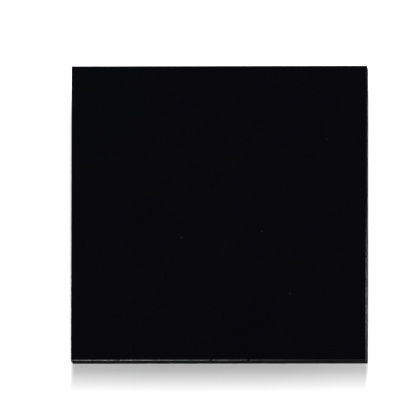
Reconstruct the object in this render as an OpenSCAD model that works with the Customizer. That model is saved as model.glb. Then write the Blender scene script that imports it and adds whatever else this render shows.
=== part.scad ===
// Wafer-level chip-scale package of an audio amplifier: a sawn silicon die with a black film on its back,
// a polymer layer on its circuit side and a square grid of solder balls on plated pads.
// Millimetres, +Z up. The film faces up and the balls stand on z = 0, with the origin under the middle ball.

/* [Ball grid] */
// Distance between the centres of neighbouring balls
ball_pitch = 0.5; // [0.4:0.01:0.8]
// Widest diameter of a reflowed ball
ball_d = 0.3; // [0.27:0.005:0.34]
// From the centres of the outer balls to the cut edge of the die
edge_margin = 0.255; // [0.22:0.005:0.4]

/* [Pads] */
// Diameter of the plated pad that the ball wets
pad_d = 0.24; // [0.21:0.005:0.26]
// Thickness of the pad's rim on the polymer layer
pad_t = 0.006; // [0.004:0.001:0.012]
// Depth of the dish in the pad over the opening
dish_depth = 0.005; // [0.002:0.001:0.008]
// From the edge of the opening to the edge of the dish
dish_inset = 0.01; // [0.005:0.001:0.02]

/* [Polymer layer] */
// Thickness of the polymer layer
polymer_t = 0.01; // [0.008:0.001:0.02]
// Pull-back of the polymer layer from the first saw cut
polymer_pullback = 0.035; // [0.02:0.005:0.05]
// Radius of the polymer layer's corners
polymer_corner_r = 0.06; // [0.02:0.005:0.1]
// Diameter of an opening at the outer face of the polymer layer
opening_d = 0.2; // [0.16:0.005:0.205]
// Inward slope of an opening's wall, on each side
opening_slope = 0.006; // [0.002:0.001:0.01]

/* [Silicon die] */
// Thickness of the silicon
die_t = 0.32; // [0.2:0.01:0.6]
// Depth of the first, wider saw cut from the circuit side
first_cut_depth = 0.11; // [0.04:0.005:0.15]
// Width of the ledge that the first cut leaves, and the radius of its floor
first_cut_ledge = 0.012; // [0.006:0.001:0.02]
// Width of the broken edge at the back of the die
broken_edge = 0.005; // [0.002:0.001:0.01]

/* [Back film] */
// Thickness of the film
film_t = 0.03; // [0.02:0.005:0.06]
// Set-back of the film from the cut edge of the die
film_setback = 0.006; // [0.0:0.001:0.012]
// Width of the worn edge round the film's face
film_edge = 0.003; // [0.001:0.001:0.006]

/* [Hidden] */
$fn = 96;
row_names = ["a", "b", "c"];
column_names = ["1", "2", "3"];
row_count = len(row_names);
column_count = len(column_names);
sites = [for (row = [0 : row_count - 1]) for (column = [0 : column_count - 1]) [row, column]];

ball_r = ball_d / 2;
pad_r = pad_d / 2;
opening_r = opening_d / 2;
opening_floor_r = opening_r - opening_slope;
dish_r = opening_r - dish_inset;
dish_floor_r = dish_r - dish_depth;

// Heights of the faces that the layers share, from the balls up
pad_face_z = ball_r + sqrt(ball_r * ball_r - pad_r * pad_r);
polymer_face_z = pad_face_z + pad_t;
circuit_face_z = polymer_face_z + polymer_t;
die_back_z = circuit_face_z + die_t;
film_face_z = die_back_z + film_t;

die_x = (column_count - 1) * ball_pitch + 2 * edge_margin;
die_y = (row_count - 1) * ball_pitch + 2 * edge_margin;
polymer_inset = first_cut_ledge + polymer_pullback;
polymer_x = die_x - 2 * polymer_inset;
polymer_y = die_y - 2 * polymer_inset;

// Row a lies towards +Y and column 1 towards -X
function site_name(site) = str(row_names[site[0]], column_names[site[1]]);
function site_place(site) = [
    (site[1] - (column_count - 1) / 2) * ball_pitch,
    ((row_count - 1) / 2 - site[0]) * ball_pitch,
    0
];

// The solid that shows one outline from the front and another from the side, the first one along X
module crossed_outlines(size_x, size_y) {
    intersection() {
        rotate([90, 0, 0])
            linear_extrude(size_y, center = true)
                children(0);
        rotate([90, 0, 90])
            linear_extrude(size_x, center = true)
                children(1);
    }
}

// Outline of the die across its cut walls: the broken edge on top and a round-floored first cut below
module die_outline(width) {
    half = width / 2;
    top_half = half - broken_edge;
    wall_top_z = die_back_z - broken_edge;
    cut_floor_z = circuit_face_z + first_cut_depth - first_cut_ledge;
    difference() {
        polygon([
            [-half, circuit_face_z],
            [half, circuit_face_z],
            [half, wall_top_z],
            [top_half, die_back_z],
            [-top_half, die_back_z],
            [-half, wall_top_z]
        ]);
        for (side = [-1, 1])
            translate([side * half, 0]) {
                translate([0, cut_floor_z])
                    circle(first_cut_ledge);
                translate([-first_cut_ledge, circuit_face_z - first_cut_ledge])
                    square([2 * first_cut_ledge, cut_floor_z - circuit_face_z + first_cut_ledge]);
            }
    }
}

// Outline of the film, with its face edge worn off
module film_outline(width) {
    half = width / 2 - film_setback;
    face_half = half - film_edge;
    wall_top_z = film_face_z - film_edge;
    polygon([
        [-half, die_back_z],
        [half, die_back_z],
        [half, wall_top_z],
        [face_half, film_face_z],
        [-face_half, film_face_z],
        [-half, wall_top_z]
    ]);
}

module rounded_rectangle(size_x, size_y, corner_r) {
    straight_x = size_x - 2 * corner_r;
    straight_y = size_y - 2 * corner_r;
    square([straight_x, size_y], center = true);
    square([size_x, straight_y], center = true);
    for (x = [-straight_x / 2, straight_x / 2])
        for (y = [-straight_y / 2, straight_y / 2])
            translate([x, y])
                circle(corner_r);
}

module silicon_die() {
    color([0.36, 0.37, 0.39])
        crossed_outlines(die_x, die_y) {
            die_outline(die_x);
            die_outline(die_y);
        }
}

module back_film() {
    color([0.04, 0.04, 0.047])
        crossed_outlines(die_x, die_y) {
            film_outline(die_x);
            film_outline(die_y);
        }
}

module polymer_layer() {
    color([0.05, 0.055, 0.045])
        difference() {
            translate([0, 0, polymer_face_z])
                linear_extrude(polymer_t)
                    rounded_rectangle(polymer_x, polymer_y, polymer_corner_r);
            for (site = sites)
                translate(site_place(site))
                    opening();
        }
}

// Conical opening through the polymer layer, carried past both faces along the same slope
module opening() {
    rise = opening_slope / polymer_t;
    past = polymer_t / 2;
    translate([0, 0, polymer_face_z - past])
        cylinder(
            h = polymer_t + 2 * past,
            r1 = opening_r + past * rise,
            r2 = opening_floor_r - past * rise
        );
}

// Plated pad: it fills the opening, laps over the polymer round it and is dished in the middle
module pad(site) {
    color([0.72, 0.6, 0.42])
        translate(site_place(site))
            rotate_extrude()
                polygon([
                    [0, circuit_face_z],
                    [opening_floor_r, circuit_face_z],
                    [opening_r, polymer_face_z],
                    [pad_r, polymer_face_z],
                    [pad_r, pad_face_z],
                    [dish_r, pad_face_z],
                    [dish_floor_r, pad_face_z + dish_depth],
                    [0, pad_face_z + dish_depth]
                ]);
}

// Reflowed ball: a sphere cut off where it wets the pad, with solder filling the pad's dish
module ball(site) {
    color([0.42, 0.43, 0.41])
        translate(site_place(site)) {
            intersection() {
                translate([0, 0, ball_r])
                    sphere(ball_r);
                cylinder(h = pad_face_z, r = ball_d);
            }
            translate([0, 0, pad_face_z])
                cylinder(h = dish_depth, r1 = dish_r, r2 = dish_floor_r);
        }
}

silicon_die();
back_film();
polymer_layer();
for (site = sites)
    pad(site);
for (site = sites)
    ball(site);
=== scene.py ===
import bmesh
import bpy
import math
import random
from mathutils import Euler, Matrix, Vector


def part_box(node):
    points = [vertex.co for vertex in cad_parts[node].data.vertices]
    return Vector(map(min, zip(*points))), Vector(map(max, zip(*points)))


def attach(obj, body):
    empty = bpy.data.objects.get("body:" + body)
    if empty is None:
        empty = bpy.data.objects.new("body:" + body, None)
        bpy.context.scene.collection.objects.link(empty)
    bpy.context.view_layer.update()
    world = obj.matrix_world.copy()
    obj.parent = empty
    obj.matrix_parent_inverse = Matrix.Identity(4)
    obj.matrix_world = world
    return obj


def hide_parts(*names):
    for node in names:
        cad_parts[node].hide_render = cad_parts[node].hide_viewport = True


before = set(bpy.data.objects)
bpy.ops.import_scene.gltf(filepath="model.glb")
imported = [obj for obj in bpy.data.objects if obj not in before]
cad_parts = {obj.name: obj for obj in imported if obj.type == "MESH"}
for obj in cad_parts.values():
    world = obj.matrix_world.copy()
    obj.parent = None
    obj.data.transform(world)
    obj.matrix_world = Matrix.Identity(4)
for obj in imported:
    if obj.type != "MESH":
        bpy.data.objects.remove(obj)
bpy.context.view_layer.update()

mm = 0.001  # pieces are modelled at 1 unit to the millimetre, then brought to metres
slack = 1e-5  # for telling whether a point lies on a face
print("frame loaded:", len(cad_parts), "nodes")


# Shader sums

class Sock:  # one shader socket, so that sums on it add Math nodes; with no socket it starts a tree
    def __init__(self, tree, socket=None):
        self.tree = tree
        self.socket = socket

    def node(self, kind, settings, inputs, output=0):
        made = self.tree.nodes.new(kind)
        for name, value in settings.items():
            setattr(made, name, value)
        for name, value in inputs.items():
            if isinstance(value, Sock):
                self.tree.links.new(value.socket, made.inputs[name])
            else:
                made.inputs[name].default_value = value
        return Sock(self.tree, made.outputs[output])

    def math(self, operation, first, second=0.0):
        return self.node("ShaderNodeMath", {"operation": operation}, {0: first, 1: second})

    def __add__(self, other):
        return self.math("ADD", self, other)

    def __radd__(self, other):
        return self.math("ADD", other, self)

    def __sub__(self, other):
        return self.math("SUBTRACT", self, other)

    def __rsub__(self, other):
        return self.math("SUBTRACT", other, self)

    def __mul__(self, other):
        return self.math("MULTIPLY", self, other)

    def __rmul__(self, other):
        return self.math("MULTIPLY", other, self)

    def __abs__(self):
        return self.math("ABSOLUTE", self)

    def most(self, other):
        return self.math("MAXIMUM", self, other)

    def ease(self, low, high):  # 0 at low, 1 at high, smooth between
        settings = {"interpolation_type": "SMOOTHSTEP"}
        inputs = {"Value": self, "From Min": low, "From Max": high, "To Min": 0.0, "To Max": 1.0}
        return self.node("ShaderNodeMapRange", settings, inputs)


def newFinish(name):  # a material, its shader node and the place on the piece in millimetres
    material = bpy.data.materials.new(name)
    material.use_nodes = True
    tree = material.node_tree
    metres = Sock(tree).node("ShaderNodeTexCoord", {}, {}, "Object")
    inputs = {"Vector": metres, "Scale": 1 / mm}
    place = metres.node("ShaderNodeVectorMath", {"operation": "SCALE"}, inputs)
    return material, tree.nodes["Principled BSDF"], place


def noise(place, pattern):  # a pattern is repeats per millimetre, detail and roughness
    perMm, detail, rough = pattern
    inputs = {"Vector": place, "Scale": perMm, "Detail": detail, "Roughness": rough}
    return place.node("ShaderNodeTexNoise", {}, inputs)


def axis(place, letter):
    return place.node("ShaderNodeSeparateXYZ", {}, {"Vector": place}, letter)


def squareReach(place):  # how far out from the middle, measured along the nearer side
    return abs(axis(place, "X")).most(abs(axis(place, "Y")))


def near(place, spot, reach):  # 1 at the spot, 0 beyond its reach
    away = place.node("ShaderNodeVectorMath", {"operation": "DISTANCE"}, {0: place, 1: spot}, "Value")
    return 1.0 - away.ease(0.0, reach)


def blend(share, first, second):
    settings = {"data_type": "RGBA"}
    return share.node("ShaderNodeMix", settings, {"Factor": share, "A": first, "B": second}, "Result")


def feed(value, shader, name):
    value.tree.links.new(value.socket, shader.inputs[name])


def roughen(shader, height, depth):  # bump of a real depth, in millimetres
    inputs = {"Height": height, "Distance": depth * mm, "Strength": 1.0}
    feed(height.node("ShaderNodeBump", {}, inputs), shader, "Normal")


def asMetal(shader):
    shader.inputs["Metallic"].default_value = 1.0


def asDullMetal(shader):  # a black tint keeps it from turning pale at a low angle
    asMetal(shader)
    shader.inputs["Specular Tint"].default_value = (0.0, 0.0, 0.0, 1.0)


# Modelling steps

def deselectAll():
    if bpy.context.object and bpy.context.object.mode != "OBJECT":
        bpy.ops.object.mode_set(mode="OBJECT")
    bpy.ops.object.select_all(action="DESELECT")


def pick(*pieces):  # the first one becomes active
    deselectAll()
    for piece in pieces:
        piece.select_set(True)
    bpy.context.view_layer.objects.active = pieces[0]


def edit(kind):
    bpy.ops.object.mode_set(mode="EDIT")
    bpy.ops.mesh.select_mode(type=kind)


def choose(kind, test):  # in edit mode: selects only what passes the test
    bpy.ops.mesh.select_mode(type=kind)
    bpy.ops.mesh.select_all(action="DESELECT")
    mesh = bpy.context.object.data
    shape = bmesh.from_edit_mesh(mesh)
    for item in {"VERT": shape.verts, "EDGE": shape.edges, "FACE": shape.faces}[kind]:
        if test(item):
            item.select_set(True)
    bmesh.update_edit_mesh(mesh)


def isLevel(edge):
    return abs(edge.verts[0].co.z - edge.verts[1].co.z) < slack


def facesUp(face):
    return face.normal.z > 0.99


def inMm(corners):
    return [c / mm for c in corners]


def siteOf(name):  # x and y of a node's middle
    low, high = inMm(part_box(name))
    return (low.x + high.x) / 2, (low.y + high.y) / 2


def useModifier(piece, name, kind, **settings):
    pick(piece)
    made = piece.modifiers.new(name, kind)
    for key, value in settings.items():
        setattr(made, key, value)
    bpy.ops.object.modifier_apply(modifier=made.name)


def cutAway(piece, cutters, rough=0.0, **settings):  # rough shakes the cutters' points
    pick(*cutters)
    bpy.ops.object.join()
    cutter = bpy.context.object
    bpy.ops.object.transform_apply(location=True, rotation=True, scale=True)
    if rough:
        edit("VERT")
        bpy.ops.mesh.select_all(action="SELECT")
        bpy.ops.transform.vertex_random(offset=rough, uniform=1.0, normal=0.0, seed=1)
    useModifier(
        piece, "cut", "BOOLEAN", operation="DIFFERENCE", object=cutter, solver="EXACT", **settings,
    )
    bpy.data.objects.remove(cutter)


def smooth(piece, angle):  # big faces keep their own flat shading beside small rounded ones
    pick(piece)
    bpy.ops.object.shade_smooth_by_angle(angle=math.radians(angle))
    useModifier(piece, "shading", "WEIGHTED_NORMAL", keep_sharp=True)


def cloudTexture(name, size):
    texture = bpy.data.textures.new(name, "CLOUDS")
    texture.noise_scale = size
    texture.noise_depth = 3
    return texture


def settle(piece, name, node, finishes):  # brings a piece to metres and hands it to the frame
    pick(piece)
    piece.location = piece.location * mm
    piece.scale = piece.scale * mm
    bpy.ops.object.transform_apply(location=True, rotation=True, scale=True)
    piece.name = name
    piece.data.name = name
    piece.data.materials.clear()
    for material in finishes:
        piece.data.materials.append(material)
    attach(piece, "root")
    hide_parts(node)


# Back film

filmSettings = {
    "cells": 90,  # along each side
    "wornEdge": 0.002,
    "wornSteps": 3,
    "rim": 0.004,  # flat border that keeps the worn edge's shading off the face
    "ragged": 0.003,  # how far the sawn edge wanders
    "raggedSize": 0.05,
    "raggedRest": 0.1,  # level of the texture that stays in place
    "wave": 0.002,  # hollows of the laminated face, downwards only
    "waveSize": 0.16,
    "waveFade": 0.1,  # the face is flat again this near its edge
    "drawnOut": 0.004,  # the cut runs off square, so the back right corner lies this much further out
    "drawnReach": 1.4,
    "smoothBelow": 50,  # degrees
    "violet": (0.00022, 0.00017, 0.00097, 1.0),
    "neutral": (0.00037, 0.00037, 0.00072, 1.0),
    "green": (0.00022, 0.00055, 0.00077, 1.0),
    "clouds": (2.2, 3.0, 0.55),
    "blotches": (9.0, 3.0, 0.6),
    "grain": (150.0, 3.0, 0.6),
    "grainDepth": 0.00015,
    "dust": (60.0, 1.0, 0.4),
    "dustStrength": 0.15,
    "speck": (0.006, 0.006, 0.0065, 1.0),
    "specks": [(-0.191, -0.127), (0.219, -0.096), (0.363, -0.414), (0.552, 0.375)],
    "speckSize": 0.007,
    "shine": 0.0096,
    "roughness": 0.5,
    "sawn": (0.0006, 0.0006, 0.0007, 1.0),
    "sawnPale": (0.0024, 0.0024, 0.0026, 1.0),
    "sawnShine": 0.01,
    "sawnRoughness": 0.6,
    "smears": (90.0, 3.0, 0.6),
    "smearDepth": 0.0008,
}


def filmFinish(faceZ):
    material, shader, place = newFinish("blackFilm")
    x, y = axis(place, "X"), axis(place, "Y")
    cloud = noise(place, filmSettings["clouds"])
    blotch = noise(place, filmSettings["blotches"])
    grain = noise(place, filmSettings["grain"])
    toViolet = (0.5 * x + 0.6 * y + 2.0 * cloud).ease(0.6, 1.2)  # strongest at the back right
    toGreen = (0.7 * y - 0.9 * x + blotch).ease(1.0, 1.9)  # strongest at the back left
    colour = blend(toViolet, filmSettings["neutral"], filmSettings["violet"])
    colour = blend(toGreen, colour, filmSettings["green"])
    dust = noise(place, filmSettings["dust"]).ease(0.78, 0.82) * filmSettings["dustStrength"]
    for spot in filmSettings["specks"]:
        dust = dust.most(near(place, (*spot, faceZ), filmSettings["speckSize"]))
    feed(blend(dust, colour, filmSettings["speck"]), shader, "Base Color")
    feed(filmSettings["roughness"] + 0.1 * cloud + 0.05 * blotch + 0.06 * grain, shader, "Roughness")
    shader.inputs["Specular IOR Level"].default_value = filmSettings["shine"]
    roughen(shader, grain, filmSettings["grainDepth"])
    return material


def filmEdgeFinish():
    material, shader, place = newFinish("sawnFilm")
    smear = noise(place, filmSettings["smears"])
    colour = blend(smear.ease(0.3, 0.8), filmSettings["sawn"], filmSettings["sawnPale"])
    feed(colour, shader, "Base Color")
    feed(filmSettings["sawnRoughness"] + 0.3 * smear, shader, "Roughness")
    shader.inputs["Specular IOR Level"].default_value = filmSettings["sawnShine"]
    roughen(shader, smear, filmSettings["smearDepth"])
    return material


def outwards(v):  # how far out from the middle, square-wise
    return max(abs(v.co.x), abs(v.co.y))


def makeFilm():
    low, high = inMm(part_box("back_film"))
    size = high - low
    half = size.x / 2
    deselectAll()
    bpy.ops.mesh.primitive_cube_add(size=1.0, location=(low + high) / 2, scale=size)
    film = bpy.context.object
    bpy.ops.object.transform_apply(location=True, scale=True)
    edit("EDGE")
    choose("EDGE", isLevel)
    bpy.ops.mesh.subdivide(number_cuts=filmSettings["cells"] - 1)
    choose("FACE", facesUp)
    bpy.ops.mesh.inset(thickness=filmSettings["rim"])
    bpy.ops.object.mode_set(mode="OBJECT")
    edge = film.vertex_groups.new(name="edge")
    face = film.vertex_groups.new(name="face")
    for v in film.data.vertices:
        inside = half - filmSettings["rim"] - outwards(v)
        if inside < -slack:
            edge.add([v.index], 1.0, "REPLACE")
        elif v.co.z > high.z - slack:
            face.add([v.index], min(1.0, inside / filmSettings["waveFade"]), "REPLACE")
    useModifier(
        film, "ragged", "DISPLACE", texture=cloudTexture("rag", filmSettings["raggedSize"]),
        texture_coords="LOCAL", strength=filmSettings["ragged"], mid_level=filmSettings["raggedRest"],
        vertex_group="edge",
    )
    edit("VERT")
    for level in (low.z, high.z):  # the outline wanders, but both faces stay level
        choose("VERT", lambda v: abs(v.co.z - level) < filmSettings["ragged"])
        bpy.ops.transform.resize(value=(1.0, 1.0, 0.0), center_override=(0, 0, level))
    rim = half - filmSettings["rim"] / 2
    choose("EDGE", lambda e: all(v.co.z > high.z - slack and outwards(v) > rim for v in e.verts))
    bpy.ops.mesh.bevel(offset=filmSettings["wornEdge"], segments=filmSettings["wornSteps"], affect="EDGES")
    useModifier(
        film, "wave", "DISPLACE", texture=cloudTexture("wave", filmSettings["waveSize"]),
        texture_coords="LOCAL", direction="Z", strength=filmSettings["wave"], mid_level=1.0,
        vertex_group="face",
    )
    film.vertex_groups.clear()
    edit("VERT")
    corner = half - filmSettings["rim"]
    choose("VERT", lambda v: min(v.co.x, v.co.y) > corner)
    bpy.ops.transform.translate(
        value=(filmSettings["drawnOut"], 0, 0), use_proportional_edit=True,
        proportional_edit_falloff="SMOOTH", proportional_size=filmSettings["drawnReach"],
    )
    smooth(film, filmSettings["smoothBelow"])
    settle(film, "backFilm", "back_film", [filmFinish(high.z), filmEdgeFinish()])
    for part in film.data.polygons:
        part.material_index = 1 if part.normal.z < 0.9 else 0
    print("film:", len(film.data.polygons), "faces")


# Silicon die

dieSettings = {
    "firstDepth": 0.11,  # first, wider saw cut from the circuit side
    "ledge": 0.012,
    "floorSteps": 6,
    "brokenEdge": 0.005,
    "chips": 260,
    "cornerChips": 44,
    "chipSize": (0.003, 0.011),
    "chipStretch": [(0.6, 1.6), (0.6, 1.6), (0.5, 1.1)],
    "chipRough": 0.0014,
    "seed": 11,
    "smoothBelow": 35,  # degrees
    "sawDark": (0.008, 0.0082, 0.0087, 1.0),
    "sawLight": (0.066, 0.0674, 0.0716, 1.0),
    "streaks": (60.0, 4.0, 0.65),
    "fineStreaks": (260.0, 2.0, 0.5),
    "streakSqueeze": 0.02,  # draws the marks out along the wall
    "streakLean": (0.03, -0.04),
    "patches": (9.0, 3.0, 0.55),
    "bladeChange": 0.003,  # above and below the ledge
    "sawRoughness": 0.55,
    "sawDepth": 0.0007,
    "brokenDark": (0.009, 0.0093, 0.0098, 1.0),
    "brokenLight": (0.32, 0.327, 0.343, 1.0),
    "facets": (70.0, 3.0, 0.6),
    "brokenRoughness": 0.3,
    "facetDepth": 0.0012,
    "upperBand": (0.03, 0.01),  # under the film: chips are clean below the first, dull above the second
    "cleanArris": [  # painted highlight on the front and right arrises: side, middle of its stretch and how far that reaches
        ("Y", (-0.755, -0.755, 0.574), 1.7),
        ("X", (0.755, -0.4, 0.574), 0.65),
    ],
    "arrisBand": (0.004, 0.01),  # painted highlight, in from the wall: full, gone
    "hairline": (0.0012, 0.0032),  # painted highlight hairline, out from the film: full, gone
    "street": (0.0075, 0.0098, 0.0052, 1.0),
    "streetDark": (0.0007, 0.0011, 0.0009, 1.0),
    "streetRim": (0.05, 0.01),  # inside and outside the cut
    "streetSkin": 0.0001,  # faces this near the circuit side belong to it
    "streetShine": 0.012,
    "streetRoughness": 0.46,
    "mottle": (25.0, 3.0, 0.6),
    "mottleDepth": 0.0002,
}


def wallFinish(ledgeZ):
    material, shader, place = newFinish("sawnSilicon")
    x, y, z = axis(place, "X"), axis(place, "Y"), axis(place, "Z")
    squeeze = dieSettings["streakSqueeze"]
    leanX, leanY = dieSettings["streakLean"]
    inputs = {"X": squeeze * x, "Y": squeeze * y, "Z": z + leanX * x + leanY * y}
    saw = place.node("ShaderNodeCombineXYZ", {}, inputs)  # marks run nearly level
    streaks = noise(saw, dieSettings["streaks"])
    fine = noise(saw, dieSettings["fineStreaks"])
    patches = noise(place, dieSettings["patches"])
    change = dieSettings["bladeChange"]
    second = z.ease(ledgeZ - change, ledgeZ + change)  # finer blade above the ledge
    tone = 0.55 * streaks + 0.2 * fine + 0.35 * patches - 0.18 * second
    colour = blend(tone.ease(0.3, 0.85), dieSettings["sawDark"], dieSettings["sawLight"])
    feed(colour, shader, "Base Color")
    feed(dieSettings["sawRoughness"] + 0.2 * fine, shader, "Roughness")
    asDullMetal(shader)
    roughen(shader, streaks + 0.4 * fine, dieSettings["sawDepth"])
    return material


def brokenFinish(filmZ, inner):
    material, shader, place = newFinish("brokenSilicon")
    facets = noise(place, dieSettings["facets"])
    cleanDepth, dullDepth = dieSettings["upperBand"]
    upper = axis(place, "Z").ease(filmZ - cleanDepth, filmZ - dullDepth)
    tone = (0.2 + 0.28 * (1.0 - upper)) * facets  # cleaner bites away from the film
    full, gone = dieSettings["hairline"]
    # painted highlight: a pale hairline along the front and right arrises next to the film, standing in
    # for light caught by these edges
    for letter, spot, reach in dieSettings["cleanArris"]:
        out = axis(place, letter)
        highlightSide = 1.0 - abs(out - spot["XYZ".index(letter)]).ease(*dieSettings["arrisBand"])
        hairline = 1.0 - abs(out).ease(inner + full, inner + gone)  # painted highlight, next to the film
        tone = tone + facets * upper * hairline * highlightSide * near(place, spot, reach)
    colour = blend(tone.ease(0.1, 0.9), dieSettings["brokenDark"], dieSettings["brokenLight"])
    feed(colour, shader, "Base Color")
    feed(dieSettings["brokenRoughness"] + 0.25 * facets, shader, "Roughness")
    asDullMetal(shader)
    roughen(shader, facets, dieSettings["facetDepth"])
    return material


def streetFinish(half):  # the bare strip round the polymer layer
    material, shader, place = newFinish("sawStreet")
    mottle = noise(place, dieSettings["mottle"])
    inside, outside = dieSettings["streetRim"]
    rim = squareReach(place).ease(half - inside, half + outside)
    colour = blend(rim * rim * (0.4 + mottle), dieSettings["streetDark"], dieSettings["street"])
    feed(colour, shader, "Base Color")
    feed(dieSettings["streetRoughness"] + 0.15 * mottle, shader, "Roughness")
    shader.inputs["Specular IOR Level"].default_value = dieSettings["streetShine"]
    roughen(shader, mottle, dieSettings["mottleDepth"])
    return material


def addChips(rows, posts):  # little shell-shaped bites that the saw breaks out of the arrises
    draw = random.Random(dieSettings["seed"])
    least, most = dieSettings["chipSize"]
    spots = []
    for number in range(dieSettings["chips"]):
        reach, level = draw.choice(rows)
        spots.append(Vector((reach, draw.uniform(-reach, reach), level)))
    for number in range(dieSettings["cornerChips"]):
        reach, bottom, top = draw.choice(posts)
        spots.append(Vector((reach, reach, draw.uniform(bottom, top))))
    chips = []
    for spot in spots:
        side = Euler((0, 0, draw.randrange(4) * math.pi / 2)).to_matrix()
        size = least + draw.random() ** 2 * (most - least)  # mostly small ones
        bpy.ops.mesh.primitive_ico_sphere_add(subdivisions=1, radius=size, location=side @ spot)
        chip = bpy.context.object
        chip.scale = [draw.uniform(*stretch) for stretch in dieSettings["chipStretch"]]
        chip.rotation_euler = [draw.uniform(0, math.pi) for angle in range(3)]
        chips.append(chip)
    return chips


def makeDie():
    low, high = inMm(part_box("silicon_die"))
    width = high.x - low.x
    ledge, broken = dieSettings["ledge"], dieSettings["brokenEdge"]
    ledgeZ = low.z + dieSettings["firstDepth"]
    steps = []  # height and width, from the circuit face up
    for step in range(dieSettings["floorSteps"] + 1):
        turn = step / dieSettings["floorSteps"] * math.pi / 2
        steps.append((ledgeZ - ledge + ledge * math.sin(turn), width - 2 * ledge * math.cos(turn)))
    steps += [(high.z - broken, width), (high.z, width - 2 * broken)]
    deselectAll()
    level, wide = low.z, width - 2 * ledge
    bpy.ops.mesh.primitive_plane_add(size=wide, location=(0, 0, level))
    die = bpy.context.object
    bpy.ops.object.transform_apply(location=True)
    edit("FACE")
    bpy.ops.mesh.select_all(action="SELECT")
    for z, w in steps:
        bpy.ops.mesh.extrude_region_move(TRANSFORM_OT_translate={"value": (0, 0, z - level)})
        bpy.ops.transform.resize(value=(w / wide, w / wide, 1.0), center_override=(0, 0, z))
        level, wide = z, w
    bpy.ops.mesh.select_all(action="SELECT")
    bpy.ops.mesh.normals_make_consistent(inside=False)
    bpy.ops.object.mode_set(mode="OBJECT")
    half = width / 2
    # arrises that chip, by reach and height: the top and bottom ones twice as often
    rows = [(half, high.z), (half, high.z), (half - ledge, low.z), (half - ledge, low.z), (half, ledgeZ)]
    posts = [(half, ledgeZ, high.z), (half - ledge, low.z, ledgeZ - ledge)]  # upright corners
    cutAway(die, addChips(rows, posts), dieSettings["chipRough"], use_self=True)
    smooth(die, dieSettings["smoothBelow"])
    finishes = [wallFinish(ledgeZ), brokenFinish(high.z, half - broken), streetFinish(half - ledge)]
    settle(die, "siliconDie", "silicon_die", finishes)
    for face in die.data.polygons:
        z = face.center.z / mm
        square = max(abs(part) for part in face.normal) > 0.999
        inFloor = ledgeZ - ledge < z < ledgeZ
        if square and z < low.z + dieSettings["streetSkin"]:
            face.material_index = 2
        elif not square and not inFloor:
            face.material_index = 1
    print("die:", len(die.data.polygons), "faces")


# Polymer layer

polymerSettings = {
    "cornerRadius": 0.06,
    "cornerSteps": 12,
    "roundedEdge": 0.006,
    "edgeSteps": 3,
    "openingRadius": 0.1,  # at the outer face
    "openingSlope": 0.006,
    "openingSides": 64,
    "smoothBelow": 40,  # degrees
    "green": (0.0006, 0.0012, 0.001, 1.0),
    "violet": (0.001, 0.0009, 0.0014, 1.0),
    "clouds": (3.0, 3.0, 0.5),
    "grain": (70.0, 2.0, 0.5),
    "grainDepth": 0.0001,
    "edgeBand": (0.008, 0.004),  # in from the outline: none, full
    "shine": 0.012,
    "roughness": 0.46,
}


def polymerFinish(half):
    material, shader, place = newFinish("darkPolymer")
    none, full = polymerSettings["edgeBand"]
    edge = squareReach(place).ease(half - none, half - full)
    cloud = noise(place, polymerSettings["clouds"])
    grain = noise(place, polymerSettings["grain"])
    colour = blend(cloud.ease(0.35, 0.65), polymerSettings["green"], polymerSettings["violet"])
    feed(colour, shader, "Base Color")
    feed(polymerSettings["roughness"] + 0.12 * cloud + 0.05 * grain + 0.2 * edge, shader, "Roughness")
    shader.inputs["Specular IOR Level"].default_value = polymerSettings["shine"]
    roughen(shader, grain, polymerSettings["grainDepth"])
    return material


def makePolymer(sites):
    low, high = inMm(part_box("polymer_layer"))
    size = high - low
    deselectAll()
    bpy.ops.mesh.primitive_cube_add(size=1.0, location=(low + high) / 2, scale=size)
    layer = bpy.context.object
    bpy.ops.object.transform_apply(location=True, scale=True)
    edit("EDGE")
    choose("EDGE", lambda e: not isLevel(e))
    bpy.ops.mesh.bevel(
        offset=polymerSettings["cornerRadius"], segments=polymerSettings["cornerSteps"], affect="EDGES",
    )
    choose("EDGE", lambda e: all(v.co.z < low.z + slack for v in e.verts))
    bpy.ops.mesh.bevel(
        offset=polymerSettings["roundedEdge"], segments=polymerSettings["edgeSteps"], affect="EDGES",
    )
    deselectAll()
    cutters = []
    radius, slope = polymerSettings["openingRadius"], polymerSettings["openingSlope"]
    for x, y in sites:  # each cone runs half a thickness past both faces, on the same slope
        bpy.ops.mesh.primitive_cone_add(
            vertices=polymerSettings["openingSides"], radius1=radius + slope / 2,
            radius2=radius - 1.5 * slope, depth=2 * size.z, location=(x, y, (low.z + high.z) / 2),
        )
        cutters.append(bpy.context.object)
    cutAway(layer, cutters)
    smooth(layer, polymerSettings["smoothBelow"])
    settle(layer, "polymerLayer", "polymer_layer", [polymerFinish(size.x / 2)])
    print("polymer:", len(layer.data.polygons), "faces")


# Pads

padSettings = {
    "dull": (0.34, 0.24, 0.15, 1.0),
    "bright": (0.5, 0.4, 0.28, 1.0),
    "clouds": (40.0, 2.0, 0.5),
    "cloudDepth": 0.0004,
    "roughness": 0.3,
}


def padFinish():
    material, shader, place = newFinish("platedPad")
    cloud = noise(place, padSettings["clouds"])
    feed(blend(cloud, padSettings["dull"], padSettings["bright"]), shader, "Base Color")
    feed(padSettings["roughness"] + 0.2 * cloud, shader, "Roughness")
    asMetal(shader)
    roughen(shader, cloud, padSettings["cloudDepth"])
    return material


def dressPads():
    finish = padFinish()
    for name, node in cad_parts.items():
        if name.startswith("pad_"):
            node.data.materials.clear()
            node.data.materials.append(finish)
    print("pads dressed")


# Solder balls

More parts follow.
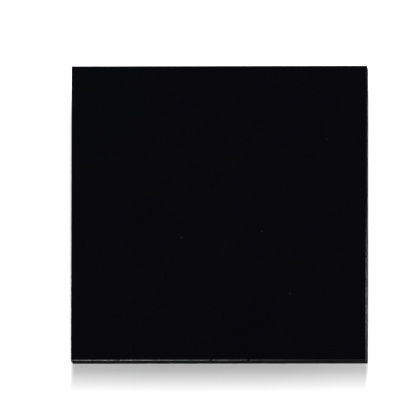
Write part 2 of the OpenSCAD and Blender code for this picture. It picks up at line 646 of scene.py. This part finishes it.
ballSettings = {
    "subdivisions": 6,
    "relief": 0.0012,  # depth of the surface left by freezing
    "reliefSize": 0.03,
    "plugInset": 0.012,
    "plugRise": 0.0045,  # into the pad's dish
    "closePoints": 0.0008,  # points that lie nearer than this are merged
    "seed": 5,
    "smoothBelow": 40,  # degrees
    "dark": (0.04, 0.0408, 0.0396, 1.0),
    "light": (0.1, 0.1015, 0.0985, 1.0),
    "clouds": (10.0, 3.0, 0.6),
    "fine": (160.0, 3.0, 0.6),
    "grainsPerMm": 36.0,
    "grainDepth": 0.0012,
    "roughness": 0.2,
}


def solderFinish():
    material, shader, place = newFinish("reflowedSolder")
    inputs = {"Vector": place, "Scale": ballSettings["grainsPerMm"]}
    grains = place.node("ShaderNodeTexVoronoi", {"feature": "F1"}, inputs)
    fine = noise(place, ballSettings["fine"])
    cloud = noise(place, ballSettings["clouds"])
    tone = 0.7 * cloud + 0.3 * grains
    feed(blend(tone.ease(0.2, 0.8), ballSettings["dark"], ballSettings["light"]), shader, "Base Color")
    feed(ballSettings["roughness"] + 0.1 * cloud + 0.08 * fine, shader, "Roughness")
    asDullMetal(shader)
    roughen(shader, 0.6 * grains + 0.4 * fine, ballSettings["grainDepth"])
    return material


def makeBalls(names):
    low, high = inMm(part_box(names[0]))
    radius = (high.x - low.x) / 2
    padZ = inMm(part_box(names[0].replace("ball", "pad")))[0].z
    deselectAll()
    bpy.ops.mesh.primitive_ico_sphere_add(
        subdivisions=ballSettings["subdivisions"], radius=radius, location=(0, 0, radius),
    )
    first = bpy.context.object
    bpy.ops.object.transform_apply(location=True)
    useModifier(
        first, "relief", "DISPLACE", texture=cloudTexture("freezing", ballSettings["reliefSize"]),
        texture_coords="LOCAL", strength=ballSettings["relief"], mid_level=1.0,
    )
    edit("VERT")
    bpy.ops.mesh.select_all(action="SELECT")
    bpy.ops.mesh.bisect(plane_co=(0, 0, padZ), plane_no=(0, 0, 1), use_fill=True, clear_outer=True)
    choose("FACE", lambda f: facesUp(f) and all(v.co.z > padZ - slack for v in f.verts))
    bpy.ops.mesh.inset(thickness=ballSettings["plugInset"])
    bpy.ops.transform.translate(value=(0, 0, ballSettings["plugRise"]))
    bpy.ops.mesh.select_all(action="SELECT")
    bpy.ops.mesh.remove_doubles(threshold=ballSettings["closePoints"])
    smooth(first, ballSettings["smoothBelow"])
    finish = solderFinish()
    draw = random.Random(ballSettings["seed"])
    for name in names:
        pick(first)
        bpy.ops.object.duplicate(linked=False)
        ball = bpy.context.object
        ball.rotation_euler = (0, 0, draw.uniform(0, 2 * math.pi))
        ball.location = (*siteOf(name), 0)
        settle(ball, "solder" + name.title().replace("_", ""), name, [finish])
    bpy.data.objects.remove(first)
    print("balls:", len(names))


# Floor, light and camera

roomSettings = {
    "floorSize": 0.6,  # metres, like the strip's sizes
    "floorDark": (0.86, 0.86, 0.86, 1.0),
    "floorLight": (0.9, 0.9, 0.9, 1.0),
    "floorClouds": (0.4, 2.0, 0.5),
    "floorRoughness": 0.7,
    "frontGlow": 1.65,  # brightness of the room in front and a little to the right
    "backGlow": 0.25,
    "glowTowards": (0.35, -0.94),
    "glowBand": (-0.35, 0.45),
    "zenith": 0.01,
    "zenithBand": (0.7, 0.95),
    "stripTurn": 81,  # degrees from +X towards +Y
    "stripHeight": 76.8,
    "stripSize": (0.0009, 0.0153),  # narrow across, so that the ends of the shadow stay clear
    "stripPower": 0.0132,
    "stripDistance": 0.03,  # near, so that the shadow spreads to the full width of the chip
}

viewSettings = {
    "pixelsPerMm": 196.1,
    "faceCentre": (218.77, 212.8),  # pixels, where the middle of the film's face lies in the picture
    "frame": 400,
    "distance": 60.0,  # mm
    "towardsFront": 4.7,  # degrees off straight down
    "towardsRight": 2.3,
    "roll": 0.1,  # brings the front edge level in the picture
    "sensor": 36.0,
    "clip": (0.005, 1.0),  # metres
}


def makeFloor():
    deselectAll()
    bpy.ops.mesh.primitive_plane_add(size=roomSettings["floorSize"])
    floor = bpy.context.object
    floor.name = "floor"
    material, shader, place = newFinish("paleFloor")
    shade = noise(place, roomSettings["floorClouds"])
    feed(blend(shade, roomSettings["floorDark"], roomSettings["floorLight"]), shader, "Base Color")
    shader.inputs["Roughness"].default_value = roomSettings["floorRoughness"]
    floor.data.materials.append(material)
    print("floor laid")


def makeLight():
    world = bpy.data.worlds.new("softRoom")
    bpy.context.scene.world = world
    world.use_nodes = True
    tree = world.node_tree
    towards = Sock(tree).node("ShaderNodeTexCoord", {}, {}, "Generated")
    glowX, glowY = roomSettings["glowTowards"]
    front = (glowX * axis(towards, "X") + glowY * axis(towards, "Y")).ease(*roomSettings["glowBand"])
    overhead = abs(axis(towards, "Z")).ease(*roomSettings["zenithBand"])
    glow = roomSettings["backGlow"] + (roomSettings["frontGlow"] - roomSettings["backGlow"]) * front
    feed(roomSettings["zenith"] + glow * (1.0 - overhead), tree.nodes["Background"], "Strength")
    tree.nodes["Background"].inputs["Color"].default_value = (1.0, 1.0, 1.0, 1.0)
    data = bpy.data.lights.new("stripLight", "AREA")
    data.shape = "RECTANGLE"
    data.size, data.size_y = roomSettings["stripSize"]
    data.energy = roomSettings["stripPower"]
    strip = bpy.data.objects.new("stripLight", data)
    bpy.context.scene.collection.objects.link(strip)
    rise = math.radians(roomSettings["stripHeight"])
    turn = math.radians(roomSettings["stripTurn"])
    away = Vector((math.cos(rise) * math.cos(turn), math.cos(rise) * math.sin(turn), math.sin(rise)))
    strip.location = away * roomSettings["stripDistance"]
    strip.rotation_euler = away.to_track_quat("Z", "Y").to_euler()
    print("light set")


def makeCamera():
    data = bpy.data.cameras.new("camera")
    camera = bpy.data.objects.new("camera", data)
    bpy.context.scene.collection.objects.link(camera)
    bpy.context.scene.camera = camera
    perMm, middle = viewSettings["pixelsPerMm"], viewSettings["frame"] / 2
    data.sensor_width = viewSettings["sensor"]
    data.lens = viewSettings["sensor"] * viewSettings["distance"] * perMm / viewSettings["frame"]
    data.clip_start, data.clip_end = viewSettings["clip"]
    front = math.radians(viewSettings["towardsFront"])
    right = math.radians(viewSettings["towardsRight"])
    roll = math.radians(viewSettings["roll"])
    turn = Euler((front, right, 0.0)).to_matrix() @ Euler((0.0, 0.0, roll)).to_matrix()
    across, down = viewSettings["faceCentre"]
    offset = Vector(((middle - across) / perMm, (down - middle) / perMm, viewSettings["distance"]))
    faceZ = inMm(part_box("back_film"))[1].z
    camera.location = (Vector((0, 0, faceZ)) + turn @ offset) * mm
    camera.rotation_euler = turn.to_euler()
    print("camera set")


ballNames = sorted(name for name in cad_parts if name.startswith("ball_"))
makeCamera()
makeFilm()
makeDie()
makePolymer([siteOf(name) for name in ballNames])
dressPads()
makeBalls(ballNames)
makeFloor()
makeLight()
bpy.context.scene.view_settings.view_transform = "Standard"
